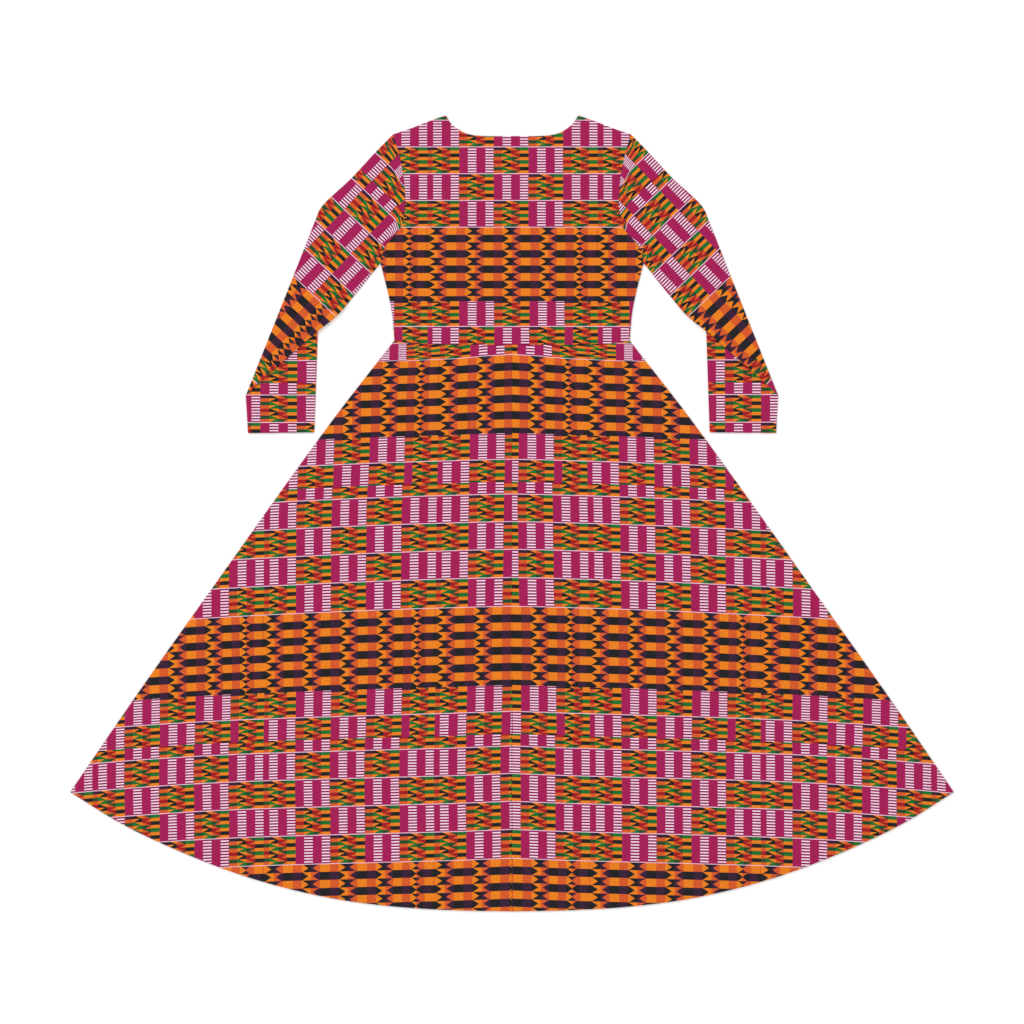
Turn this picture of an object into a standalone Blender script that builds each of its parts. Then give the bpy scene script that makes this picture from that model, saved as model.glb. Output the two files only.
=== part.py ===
"""A long-sleeved dance dress with a fitted bodice and a full flared skirt, laid out flat on its front.

The back faces up. X runs across the dress, Y from the hem up to the shoulders, and Z up from the surface
that it lies on. The origin is at the middle of the dress, on that surface. The wearer's left is at -X.
Tables hold real sizes in millimetres. Each panel is a wall between four named edges, and each sleeve is a
flattened tube through sections from its armhole to its cuff.
"""

from collections import namedtuple

import bmesh
import bpy
import numpy as np

# A mark on the flat dress: out from the centre line, and down from the high point of the shoulder
Mark = namedtuple("Mark", "out down")

MILLIMETRE = 0.001
WALL = 1.2
SEAM_GAP = 0.3
TOTAL_LENGTH = 1352.9

# Where the seams meet
NECK_POINT = Mark(out=112.5, down=0.0)
SHOULDER_POINT = Mark(out=202.1, down=32.3)
UNDERARM = Mark(out=223.6, down=250.8)
WAIST_SIDE = Mark(out=199.8, down=382.5)
HEM_CORNER = Mark(out=750.9, down=1150.1)
HEM_CENTRE = Mark(out=0.0, down=TOTAL_LENGTH)
BACK_NECK_DEPTH = 35.2
FRONT_NECK_DEPTH = 95.0
WAIST_DEPTH = 389.8

# The elbow is bent: its point is outside, and its crook is towards the body
ELBOW_POINT = Mark(out=452.5, down=476.3)
ELBOW_CROOK = Mark(out=330.2, down=366.5)
CUFF_OUTER = Mark(out=448.8, down=540.0)
CUFF_INNER = Mark(out=336.0, down=538.6)

# Edges, each from its first seam corner to its last
BACK_NECK = (
    Mark(out=0.0, down=BACK_NECK_DEPTH),
    Mark(out=52.7, down=34.7),
    Mark(out=77.9, down=30.8),
    Mark(out=90.4, down=24.3),
    Mark(out=103.0, down=14.8),
    NECK_POINT,
)
FRONT_NECK = (
    Mark(out=0.0, down=FRONT_NECK_DEPTH),
    Mark(out=45.0, down=89.0),
    Mark(out=82.0, down=64.0),
    Mark(out=103.0, down=30.0),
    NECK_POINT,
)
SHOULDER = (NECK_POINT, Mark(out=137.7, down=8.7), Mark(out=173.7, down=22.8), SHOULDER_POINT)
ARMHOLE = (
    SHOULDER_POINT,
    Mark(out=190.9, down=71.0),
    Mark(out=183.2, down=115.0),
    Mark(out=182.1, down=158.0),
    Mark(out=188.7, down=190.0),
    Mark(out=200.8, down=205.0),
    Mark(out=216.9, down=225.0),
    UNDERARM,
)
SIDE_SEAM = (UNDERARM, Mark(out=210.6, down=302.4), Mark(out=204.2, down=335.0), WAIST_SIDE)
WAIST = (
    Mark(out=0.0, down=WAIST_DEPTH),
    Mark(out=73.0, down=WAIST_DEPTH),
    Mark(out=125.8, down=389.0),
    Mark(out=173.4, down=387.0),
    WAIST_SIDE,
)
SKIRT_SIDE = (
    WAIST_SIDE,
    Mark(out=309.4, down=524.1),
    Mark(out=523.9, down=823.7),
    Mark(out=636.7, down=983.3),
    HEM_CORNER,
)
HEM = (
    HEM_CENTRE,
    Mark(out=105.4, down=1350.6),
    Mark(out=207.4, down=1343.9),
    Mark(out=309.4, down=1329.9),
    Mark(out=428.4, down=1301.0),
    Mark(out=534.1, down=1263.6),
    Mark(out=658.6, down=1206.6),
    HEM_CORNER,
)
SLEEVE_OUTER = (
    SHOULDER_POINT,
    Mark(out=234.3, down=65.0),
    Mark(out=272.6, down=106.4),
    Mark(out=324.6, down=156.6),
    Mark(out=334.6, down=179.4),
    Mark(out=372.1, down=274.2),
    ELBOW_POINT,
)
SLEEVE_INNER = (UNDERARM, Mark(out=268.3, down=306.4), Mark(out=298.0, down=341.0), ELBOW_CROOK)
ELBOW_FOLD = (
    ELBOW_POINT,
    Mark(out=425.0, down=450.0),
    Mark(out=382.5, down=412.3),
    Mark(out=356.0, down=389.5),
    ELBOW_CROOK,
)

# How far the upper layer stands off the lower one, away from its seams
CROWN = 0.9
CROWN_REACH = 45.0
FLUTE_HEIGHT = 0.7
FLUTES_PER_PANEL = 3

# The bent elbow's spare cloth, three layers deep, is tucked under the upper arm behind the fold
TUCK_HEIGHT = 2 * (WALL + SEAM_GAP)
TUCK_DEPTH = 58.0
TUCK_SLOPE = 16.0
TUCK_START = 0.16
LIP_ROUND = 1.0
LIP_DROP = 0.2

# How many steps each edge is cut into
NECK_STEPS = 8
SHOULDER_STEPS = 4
ARMHOLE_STEPS = 9
SIDE_SEAM_STEPS = 4
PANEL_STEPS = 14
FRONT_SKIRT_DROPS = 6
BACK_SKIRT_DROPS = 12
UPPER_ARM_STEPS = 11
FOREARM_STEPS = 6
EDGE_ROUND = 0.6

COLOURS = {
    "front_bodice": (0.46, 0.16, 0.10),
    "front_skirt": (0.42, 0.13, 0.08),
    "back_bodice": (0.52, 0.17, 0.10),
    "back_skirt_left": (0.48, 0.11, 0.10),
    "back_skirt_right": (0.50, 0.14, 0.08),
    "sleeve_left": (0.44, 0.09, 0.14),
    "sleeve_right": (0.44, 0.11, 0.11),
}
CLOTH_ROUGHNESS = 0.85


def clear_scene():
    """Takes away what the file starts with."""
    for thing in list(bpy.data.objects):
        bpy.data.objects.remove(thing, do_unlink=True)


def sample(marks, steps):
    """Points along a smooth curve through the marks, which it keeps. The steps are shared out by length."""
    knots = np.array(marks, float)
    lengths = np.linalg.norm(np.diff(knots, axis=0), axis=1)
    reached = np.concatenate([[0.0], np.cumsum(lengths)]) / lengths.sum()
    places = np.round(reached * steps).astype(int)
    for i in range(1, len(places)):
        places[i] = max(places[i], places[i - 1] + 1)
    places = np.minimum(places, steps - np.arange(len(places))[::-1])
    ends = [2 * knots[0] - knots[1], 2 * knots[-1] - knots[-2]]
    padded = np.vstack([ends[0], knots, ends[1]])
    points = [knots[0]]
    for i in range(len(knots) - 1):
        count = places[i + 1] - places[i]
        for step in range(1, count + 1):
            points.append(between(padded[i : i + 4], step / count))
    return np.array(points)


def between(knots, share):
    """The point this share of the way from the second of four knots to the third, on a centripetal curve."""
    gaps = np.sqrt(np.linalg.norm(np.diff(knots, axis=0), axis=1))
    t0, t1, t2, t3 = np.concatenate([[0.0], np.cumsum(gaps)])
    t = t1 + share * (t2 - t1)
    a1 = (t1 - t) / (t1 - t0) * knots[0] + (t - t0) / (t1 - t0) * knots[1]
    a2 = (t2 - t) / (t2 - t1) * knots[1] + (t - t1) / (t2 - t1) * knots[2]
    a3 = (t3 - t) / (t3 - t2) * knots[2] + (t - t2) / (t3 - t2) * knots[3]
    b1 = (t2 - t) / (t2 - t0) * a1 + (t - t0) / (t2 - t0) * a2
    b2 = (t3 - t) / (t3 - t1) * a2 + (t - t1) / (t3 - t1) * a3
    return (t2 - t) / (t2 - t1) * b1 + (t - t1) / (t2 - t1) * b2


def joined(*curves):
    """One run of points from curves that follow each other."""
    return np.vstack([curves[0], *(curve[1:] for curve in curves[1:])])


def shifted(points, distance):
    """A curve that runs down, moved outwards by distance, or inwards if that is negative."""
    along = np.gradient(points, axis=0)
    along /= np.linalg.norm(along, axis=1, keepdims=True)
    return points + distance * np.stack([along[:, 1], -along[:, 0]], axis=1)


def patch(first, last, left, right):
    """A grid of plan points between four edges: first and last run across, left and right run down."""
    u = np.linspace(0, 1, len(first))[None, :, None]
    v = np.linspace(0, 1, len(left))[:, None, None]
    across = (1 - v) * first[None] + v * last[None]
    along = (1 - u) * left[:, None] + u * right[:, None]
    corners = (1 - u) * (1 - v) * first[0] + u * (1 - v) * first[-1]
    corners = corners + (1 - u) * v * last[0] + u * v * last[-1]
    return across + along - corners


def soft_step(value):
    """0 below 0, 1 above 1, and smooth in between."""
    value = np.clip(value, 0, 1)
    return value * value * (3 - 2 * value)


def edge_rise(plan):
    """0 along a panel's edges, rising to 1 further in than CROWN_REACH. It reads the grid's own rows and columns."""
    rise = np.ones(plan.shape[:2])
    for axis in (0, 1):
        run = np.linalg.norm(np.diff(plan, axis=axis), axis=2)
        start = np.zeros_like(np.take(run, [0], axis=axis))
        from_first = np.concatenate([start, np.cumsum(run, axis=axis)], axis=axis)
        from_last = np.take(from_first, [-1], axis=axis) - from_first
        rise *= 1 - np.exp(-np.minimum(from_first, from_last) * 3 / CROWN_REACH)
    return rise


def placed(plan, height, side):
    """Grid points in metres. side is 1 for the wearer's right, at +X, and -1 for the left."""
    x = side * plan[..., 0]
    y = TOTAL_LENGTH / 2 - plan[..., 1]
    z = np.broadcast_to(height, x.shape)
    return np.stack([x, y, z], axis=-1) * MILLIMETRE


def add_object(name, points, faces):
    """A closed mesh with its faces turned outwards, smooth but for its thin edges, in its piece's colour."""
    mesh = bpy.data.meshes.new(name)
    mesh.from_pydata([tuple(point) for point in points], [], faces)
    builder = bmesh.new()
    builder.from_mesh(mesh)
    bmesh.ops.recalc_face_normals(builder, faces=builder.faces)
    builder.to_mesh(mesh)
    builder.free()
    mesh.shade_smooth()
    mesh.set_sharp_from_angle(angle=np.radians(50))
    material = bpy.data.materials.new(name + "_cloth")
    material.use_nodes = True
    shader = material.node_tree.nodes["Principled BSDF"]
    shader.inputs["Base Color"].default_value = (*COLOURS[name], 1.0)
    shader.inputs["Roughness"].default_value = CLOTH_ROUGHNESS
    shader.inputs["Metallic"].default_value = 0.0
    mesh.materials.append(material)
    piece = bpy.data.objects.new(name, mesh)
    bpy.context.collection.objects.link(piece)
    return piece


def panel(name, low, high):
    """A wall between two grids of points that have the same rows and columns."""
    rows, columns = low.shape[:2]
    number = np.arange(rows * columns).reshape(rows, columns)
    top = rows * columns
    faces = []
    for i in range(rows - 1):
        for j in range(columns - 1):
            square = [number[i, j], number[i, j + 1], number[i + 1, j + 1], number[i + 1, j]]
            faces.append([int(corner) for corner in square[::-1]])
            faces.append([int(corner) + top for corner in square])
    rim = [*number[0, :-1], *number[:-1, -1], *number[-1, :0:-1], *number[:0:-1, 0]]
    for here, following in zip(rim, rim[1:] + rim[:1]):
        faces.append([int(here), int(following), int(following) + top, int(here) + top])
    points = np.concatenate([low.reshape(-1, 3), high.reshape(-1, 3)])
    return add_object(name, points, faces)


def mirrored(plan):
    """The whole width of a piece that is cut on the fold: its left half is the right half's mirror image."""
    left = plan[:, :0:-1] * [-1, 1]
    return np.concatenate([left, plan], axis=1)


def half_bodice(neck):
    """The right half of a bodice panel, from its centre line to its side, in rows from neck to waist."""
    top = joined(sample(neck, NECK_STEPS), sample(SHOULDER, SHOULDER_STEPS))
    armhole = shifted(sample(ARMHOLE, ARMHOLE_STEPS), -SEAM_GAP / 2)
    top[-1] = armhole[0]
    side = joined(armhole, sample(SIDE_SEAM, SIDE_SEAM_STEPS))
    bottom = sample(WAIST, NECK_STEPS + SHOULDER_STEPS) - [0, SEAM_GAP / 2]
    side[-1] = bottom[-1]
    centre = np.linspace(top[0], bottom[0], len(side))
    return patch(top, bottom, centre, side)


def half_skirt(drops, centre_gap):
    """The right half of the skirt, from its centre line to its side, in rows from waist to hem."""
    waist = sample(WAIST, PANEL_STEPS) + [0, SEAM_GAP / 2]
    hem = sample(HEM, PANEL_STEPS)
    waist[0, 0] = centre_gap
    hem[0, 0] = centre_gap
    side = sample(SKIRT_SIDE, drops)
    side[0] = waist[-1]
    centre = np.linspace(waist[0], hem[0], drops + 1)
    return patch(waist, hem, centre, side)


def lower_layer(name, plan):
    """A front panel. It lies flat, outside down, on the surface."""
    return panel(name, placed(plan, 0.0, 1), placed(plan, WALL, 1))


def upper_layer(name, plan, lift, side=1):
    """A back panel. Its edges lie on the front panel's, and the rest stands off it by lift."""
    floor = WALL + SEAM_GAP + lift
    return panel(name, placed(plan, floor, side), placed(plan, floor + WALL, side))


def flutes(plan):
    """Soft ridges down a back skirt panel, fading towards the waist."""
    u = np.linspace(0, 1, plan.shape[1])[None, :]
    v = np.linspace(0, 1, plan.shape[0])[:, None]
    wave = (1 - np.cos(2 * np.pi * FLUTES_PER_PANEL * u)) / 2
    return FLUTE_HEIGHT * wave * soft_step(v * 1.5)


def tuck_lift(plan, fold):
    """How far the tucked layers raise each point of the upper arm. fold is the elbow fold's own points."""
    across = np.linspace(0, 1, plan.shape[1])[None, :]
    behind = np.linalg.norm(plan - fold[None], axis=2)
    depth = TUCK_DEPTH * across
    raised = soft_step((depth + TUCK_SLOPE - behind) / TUCK_SLOPE)
    return TUCK_HEIGHT * raised * soft_step(across / TUCK_START)


def sleeve_sections():
    """Plan points and lifts of the sleeve's sections, from the armhole to the cuff, each from outside to inside."""
    armhole = shifted(sample(ARMHOLE, ARMHOLE_STEPS), SEAM_GAP / 2)
    fold = sample(ELBOW_FOLD, ARMHOLE_STEPS)
    outer = sample(SLEEVE_OUTER, UPPER_ARM_STEPS)
    inner = sample(SLEEVE_INNER, UPPER_ARM_STEPS)
    outer[0] = armhole[0]
    inner[0] = armhole[-1]
    upper = patch(armhole, fold, outer, inner)
    cuff = np.linspace(CUFF_OUTER, CUFF_INNER, ARMHOLE_STEPS + 1)
    forearm = patch(
        fold,
        cuff,
        np.linspace(ELBOW_POINT, CUFF_OUTER, FOREARM_STEPS + 1),
        np.linspace(ELBOW_CROOK, CUFF_INNER, FOREARM_STEPS + 1),
    )
    lift = tuck_lift(upper, fold)
    step_back = upper[-2] - upper[-1]
    step_back /= np.linalg.norm(step_back, axis=1, keepdims=True)
    step_on = forearm[1] - forearm[0]
    step_on /= np.linalg.norm(step_on, axis=1, keepdims=True)
    lip = fold + LIP_ROUND * step_back
    foot = fold + LIP_DROP * step_on
    sections = [*upper[:-1], lip, fold, foot, *forearm[1:]]
    heights = [*lift[:-1], lift[-1], lift[-1] / 2, *np.zeros((FOREARM_STEPS + 1, ARMHOLE_STEPS + 1))]
    return np.array(sections), np.array(heights)


def ring_points(sections, inset, low, high):
    """Rings round a flattened tube: along its lower side, round its inner edge, back along its top, round its outer edge."""
    span = sections[:, -1] - sections[:, 0]
    span /= np.linalg.norm(span, axis=1, keepdims=True)
    flat = sections.copy()
    flat[:, 0] += (inset + EDGE_ROUND) * span
    flat[:, -1] -= (inset + EDGE_ROUND) * span
    outer_edge = sections[:, 0] + inset * span
    inner_edge = sections[:, -1] - inset * span
    plan = np.concatenate([flat, inner_edge[:, None], flat[:, ::-1], outer_edge[:, None]], axis=1)
    middle = (low + high) / 2
    under = np.full_like(high, low)
    height = np.concatenate([under, middle[:, -1:], high[:, ::-1], middle[:, :1]], axis=1)
    return plan, height


def sleeve(name, side):
    """A flattened tube, open at the armhole and the cuff, with its elbow's tuck in its upper layer."""
    sections, tuck = sleeve_sections()
    crown = CROWN * edge_rise(sections)
    hollow_top = WALL + SEAM_GAP + crown * (tuck <= 0)
    outside = placed(*ring_points(sections, 0.0, 0.0, WALL + SEAM_GAP + crown + tuck + WALL), side)
    inside = placed(*ring_points(sections, WALL, WALL, hollow_top), side)
    rings, around = outside.shape[:2]
    number = np.arange(2 * rings * around).reshape(2, rings, around)
    faces = []
    for layer in number:
        for i in range(rings - 1):
            for j in range(around):
                k = (j + 1) % around
                faces.append([int(layer[i, j]), int(layer[i, k]), int(layer[i + 1, k]), int(layer[i + 1, j])])
    for end in (0, -1):
        for j in range(around):
            k = (j + 1) % around
            rim = [number[0, end, j], number[0, end, k], number[1, end, k], number[1, end, j]]
            faces.append([int(corner) for corner in rim])
    points = np.concatenate([outside.reshape(-1, 3), inside.reshape(-1, 3)])
    return add_object(name, points, faces)


def build_dress():
    lower_layer("front_bodice", mirrored(half_bodice(FRONT_NECK)))
    lower_layer("front_skirt", mirrored(half_skirt(FRONT_SKIRT_DROPS, 0.0)))
    back = mirrored(half_bodice(BACK_NECK))
    upper_layer("back_bodice", back, CROWN * edge_rise(back))
    skirt = half_skirt(BACK_SKIRT_DROPS, SEAM_GAP / 2)
    lift = (CROWN + flutes(skirt)) * edge_rise(skirt)
    upper_layer("back_skirt_left", skirt, lift, side=-1)
    upper_layer("back_skirt_right", skirt, lift, side=1)
    sleeve("sleeve_left", side=-1)
    sleeve("sleeve_right", side=1)


clear_scene()
build_dress()
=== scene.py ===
"""The looks of a long-sleeved dance dress that lies flat on its front, with its back up.

Each panel and sleeve is a fine wall of jersey with soft rims, in place of its plain solid. Marks on
the dress are in millimetres: out from the centre line, and down from the high point of the shoulder.
The print is charted in millimetres of cloth too: u runs across its tile, and v runs down it.
"""

from collections import namedtuple
from functools import partial

import bmesh
import bpy
import numpy as np
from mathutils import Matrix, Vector
from mathutils.bvhtree import BVHTree


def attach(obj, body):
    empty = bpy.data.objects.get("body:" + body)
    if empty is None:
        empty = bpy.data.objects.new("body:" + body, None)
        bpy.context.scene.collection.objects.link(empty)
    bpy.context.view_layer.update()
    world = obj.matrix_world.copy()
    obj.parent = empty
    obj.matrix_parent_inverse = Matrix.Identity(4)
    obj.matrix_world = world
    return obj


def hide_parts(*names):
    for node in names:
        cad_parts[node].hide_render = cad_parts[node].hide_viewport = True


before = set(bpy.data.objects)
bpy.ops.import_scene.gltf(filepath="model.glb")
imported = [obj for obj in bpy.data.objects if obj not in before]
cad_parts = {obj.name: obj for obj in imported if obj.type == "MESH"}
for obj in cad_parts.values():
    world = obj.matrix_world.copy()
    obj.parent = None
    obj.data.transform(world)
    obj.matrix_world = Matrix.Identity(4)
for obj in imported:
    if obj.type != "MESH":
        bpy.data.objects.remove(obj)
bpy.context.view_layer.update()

# A mark on the flat dress: out from the centre line, and down from the high point of the shoulder
Mark = namedtuple("Mark", "out down")

MILLIMETRE = 0.001
WALL = 1.2
SEAM_GAP = 0.3
SEAM_SLIT = 0.04
TOTAL_LENGTH = 1352.9
BODY = "root"

# Where the seams meet
NECK_POINT = Mark(out=112.5, down=0.0)
SHOULDER_POINT = Mark(out=202.1, down=32.3)
UNDERARM = Mark(out=223.6, down=250.8)
WAIST_SIDE = Mark(out=199.8, down=382.5)
HEM_CORNER = Mark(out=750.9, down=1150.1)
HEM_CENTRE = Mark(out=0.0, down=TOTAL_LENGTH)
BACK_NECK_DEPTH = 35.2
FRONT_NECK_DEPTH = 95.0
WAIST_DEPTH = 389.8

# The elbow is bent: its point is outside, and its crook is towards the body
ELBOW_POINT = Mark(out=452.5, down=476.3)
ELBOW_CROOK = Mark(out=330.2, down=366.5)
CUFF_OUTER = Mark(out=448.8, down=540.0)
CUFF_INNER = Mark(out=336.0, down=538.6)


def marks(*places):
    """A row of marks, each given as out and down."""
    return [Mark(*place) for place in places]


# Edges, each from its first seam corner to its last
BACK_NECK = marks(
    (0.0, BACK_NECK_DEPTH), (52.7, 34.7), (77.9, 30.8), (90.4, 24.3), (103.0, 14.8), NECK_POINT
)
FRONT_NECK = marks((0.0, FRONT_NECK_DEPTH), (45.0, 89.0), (82.0, 64.0), (103.0, 30.0), NECK_POINT)
SHOULDER = marks(NECK_POINT, (137.7, 8.7), (173.7, 22.8), SHOULDER_POINT)
ARMHOLE = marks(
    SHOULDER_POINT,
    (190.9, 71.0), (183.2, 115.0), (182.1, 158.0), (188.7, 190.0), (200.8, 205.0), (216.9, 225.0),
    UNDERARM,
)
SIDE_SEAM = marks(UNDERARM, (210.6, 302.4), (204.2, 335.0), WAIST_SIDE)
WAIST = marks((0.0, WAIST_DEPTH), (73.0, WAIST_DEPTH), (125.8, 389.0), (173.4, 387.0), WAIST_SIDE)
SKIRT_SIDE = marks(WAIST_SIDE, (309.4, 524.1), (523.9, 823.7), (636.7, 983.3), HEM_CORNER)
HEM = marks(
    HEM_CENTRE,
    (105.4, 1350.6), (207.4, 1343.9), (309.4, 1329.9), (428.4, 1301.0), (534.1, 1263.6), (658.6, 1206.6),
    HEM_CORNER,
)
SLEEVE_OUTER = marks(
    SHOULDER_POINT,
    (234.3, 65.0), (272.6, 106.4), (324.6, 156.6), (334.6, 179.4), (372.1, 274.2),
    ELBOW_POINT,
)
SLEEVE_INNER = marks(UNDERARM, (268.3, 306.4), (298.0, 341.0), ELBOW_CROOK)
ELBOW_FOLD = marks(ELBOW_POINT, (425.0, 450.0), (382.5, 412.3), (356.0, 389.5), ELBOW_CROOK)

# How far the upper layer stands off the lower one, away from its seams
CROWN = 0.9
CROWN_REACH = 15.0
FLUTE_HEIGHT = 0.7
FLUTES_PER_PANEL = 3
FLUTES_FULL = 2 / 3
RIPPLE_HEIGHT = 0.45

# Slow waves in the cloth: their share of the height, and their lengths over 2 pi
Wave = namedtuple("Wave", "height out down start")
RIPPLES = (
    Wave(1.0, 41, 67, 0.6),
    Wave(1.0, 29, -53, 2.1),
    Wave(0.7, 17, 97, 4.0),
)

# The bent elbow's spare cloth is tucked under the upper arm behind the fold
TUCK_HEIGHT = 2 * (WALL + SEAM_GAP)
TUCK_DEPTH = 58.0
TUCK_SLOPE = 16.0
TUCK_START = 0.16

# How many steps each edge is cut into
NECK_STEPS = 34
SHOULDER_STEPS = 16
ARMHOLE_STEPS = 44
SIDE_SEAM_STEPS = 24
PANEL_STEPS = 96
FRONT_SKIRT_DROPS = 60
BACK_SKIRT_DROPS = 124
UPPER_ARM_STEPS = 70
FOREARM_STEPS = 34

# A rim is a half circle, seen as these angles from its upper side to its lower side
RIM_RADIUS = WALL / 2
RIM_ANGLES = np.radians([45, 0, -45])

# The neck, cuffs and hem are turned under and held by two rows of stitches
HEM_END = 16.5
HEM_SLOPE = 2.0
HEM_RISE = 0.35
STITCH_ROWS = (10.0, 13.2)
STITCH_PITCH = 3.2
STITCH_LENGTH = 2.5
STITCH_WIDTH = 0.55
CUFF_STITCH_MARKS = 20

# Rings along a stitch: how far along, how full, and how deep it dips into the cloth
StitchRing = namedtuple("StitchRing", "along fullness dip")
STITCH_RINGS = (
    StitchRing(-0.5, 0.45, 0.3),
    StitchRing(-0.3, 0.9, 0.05),
    StitchRing(0.3, 0.9, 0.05),
    StitchRing(0.5, 0.45, 0.3),
)
STITCH_ANGLES = np.radians([0, 60, 120, 180, 240, 300])
ABOVE_ALL = 0.05


def sample(edge, steps):
    """Points along a smooth curve through an edge's marks. The steps are shared out by length."""
    knots = np.array(edge, float)
    lengths = np.linalg.norm(np.diff(knots, axis=0), axis=1)
    reached = np.concatenate([[0.0], np.cumsum(lengths)]) / lengths.sum()
    places = np.round(reached * steps).astype(int)
    for i in range(1, len(places)):
        places[i] = max(places[i], places[i - 1] + 1)
    places = np.minimum(places, steps - np.arange(len(places))[::-1])
    ends = [2 * knots[0] - knots[1], 2 * knots[-1] - knots[-2]]
    padded = np.vstack([ends[0], knots, ends[1]])
    points = [knots[0]]
    for i in range(len(knots) - 1):
        count = places[i + 1] - places[i]
        for step in range(1, count + 1):
            points.append(between(padded[i : i + 4], step / count))
    return np.array(points)


def between(knots, share):
    """The point this share of the way from the second of four knots to the third, on a smooth curve."""
    gaps = np.sqrt(np.linalg.norm(np.diff(knots, axis=0), axis=1))
    t0, t1, t2, t3 = np.concatenate([[0.0], np.cumsum(gaps)])
    t = t1 + share * (t2 - t1)
    a1 = (t1 - t) / (t1 - t0) * knots[0] + (t - t0) / (t1 - t0) * knots[1]
    a2 = (t2 - t) / (t2 - t1) * knots[1] + (t - t1) / (t2 - t1) * knots[2]
    a3 = (t3 - t) / (t3 - t2) * knots[2] + (t - t2) / (t3 - t2) * knots[3]
    b1 = (t2 - t) / (t2 - t0) * a1 + (t - t0) / (t2 - t0) * a2
    b2 = (t3 - t) / (t3 - t1) * a2 + (t - t1) / (t3 - t1) * a3
    return (t2 - t) / (t2 - t1) * b1 + (t - t1) / (t2 - t1) * b2


def joined(*curves):
    """One run of points from curves that follow each other."""
    return np.vstack([curves[0], *(curve[1:] for curve in curves[1:])])


def shifted(points, distance):
    """A curve that runs down, moved outwards by distance, or inwards if that is negative."""
    along = np.gradient(points, axis=0)
    along /= np.linalg.norm(along, axis=1, keepdims=True)
    return points + distance * np.stack([along[:, 1], -along[:, 0]], axis=1)


def patch(first, last, left, right):
    """A grid of plan points between four edges: first and last run across, left and right run down."""
    u = np.linspace(0, 1, len(first))[None, :, None]
    v = np.linspace(0, 1, len(left))[:, None, None]
    across = (1 - v) * first[None] + v * last[None]
    along = (1 - u) * left[:, None] + u * right[:, None]
    corners = (1 - u) * (1 - v) * first[0] + u * (1 - v) * first[-1]
    corners = corners + (1 - u) * v * last[0] + u * v * last[-1]
    return across + along - corners


def soft_step(value):
    """0 below 0, 1 above 1, and smooth in between."""
    value = np.clip(value, 0, 1)
    return value * value * (3 - 2 * value)


def edge_rise(plan):
    """0 along a grid's edges, rising to 1 well inside. It is two thirds of the way up at CROWN_REACH."""
    rise = np.ones(plan.shape[:2])
    for axis in (0, 1):
        run = np.linalg.norm(np.diff(plan, axis=axis), axis=2)
        start = np.zeros_like(np.take(run, [0], axis=axis))
        from_first = np.concatenate([start, np.cumsum(run, axis=axis)], axis=axis)
        from_last = np.take(from_first, [-1], axis=axis) - from_first
        rise *= 1 - np.exp(-np.minimum(from_first, from_last) / CROWN_REACH)
    return rise


def distance_to(plan, curve):
    """How far each plan point is from a run of points."""
    starts = curve[:-1]
    spans = np.diff(curve, axis=0)
    nearest = np.full(plan.shape[:-1], np.inf)
    for start, span in zip(starts, spans):
        share = np.clip((plan - start) @ span / (span @ span), 0, 1)
        gap = np.linalg.norm(plan - start - share[..., None] * span, axis=-1)
        nearest = np.minimum(nearest, gap)
    return nearest


def hem_lift(plan, edge):
    """The turned-under cloth along an edge makes it a little thicker, as far in as its stitches."""
    return HEM_RISE * soft_step((HEM_END - distance_to(plan, edge)) / HEM_SLOPE)


def ripples(plan, side):
    """Slight, slow unevenness of cloth that was smoothed out by hand."""
    out = plan[..., 0] * side
    down = plan[..., 1]
    waves = sum(wave.height * np.sin(out / wave.out + down / wave.down + wave.start) for wave in RIPPLES)
    most = sum(wave.height for wave in RIPPLES)
    return RIPPLE_HEIGHT * (waves + most) / (2 * most)


def placed(plan, height, side):
    """Grid points in metres. side is 1 for the wearer's right, at +X, and -1 for the left."""
    x = side * plan[..., 0]
    y = TOTAL_LENGTH / 2 - plan[..., 1]
    z = np.broadcast_to(height, x.shape)
    return np.stack([x, y, z], axis=-1) * MILLIMETRE


def mirrored(plan):
    """The whole width of a piece that is cut on the fold."""
    left = plan[:, :0:-1] * [-1, 1]
    return np.concatenate([left, plan], axis=1)


def half_bodice(neck):
    """The right half of a bodice panel, from its centre line to its side, in rows from neck to waist."""
    top = joined(sample(neck, NECK_STEPS), sample(SHOULDER, SHOULDER_STEPS))
    armhole = shifted(sample(ARMHOLE, ARMHOLE_STEPS), -SEAM_SLIT / 2)
    top[-1] = armhole[0]
    side = joined(armhole, sample(SIDE_SEAM, SIDE_SEAM_STEPS))
    bottom = sample(WAIST, NECK_STEPS + SHOULDER_STEPS) - [0, SEAM_SLIT / 2]
    side[-1] = bottom[-1]
    centre = np.linspace(top[0], bottom[0], len(side))
    return patch(top, bottom, centre, side)


def half_skirt(drops, centre_gap):
    """The right half of the skirt, from its centre line to its side, in rows from waist to hem."""
    waist = sample(WAIST, PANEL_STEPS) + [0, SEAM_SLIT / 2]
    hem = sample(HEM, PANEL_STEPS)
    waist[0, 0] = centre_gap
    hem[0, 0] = centre_gap
    side = sample(SKIRT_SIDE, drops)
    side[0] = waist[-1]
    centre = np.linspace(waist[0], hem[0], drops + 1)
    return patch(waist, hem, centre, side)


def flutes(plan):
    """Soft ridges down a back skirt panel, fading towards the waist."""
    u = np.linspace(0, 1, plan.shape[1])[None, :]
    v = np.linspace(0, 1, plan.shape[0])[:, None]
    wave = (1 - np.cos(2 * np.pi * FLUTES_PER_PANEL * u)) / 2
    return FLUTE_HEIGHT * wave * soft_step(v / FLUTES_FULL)


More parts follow.
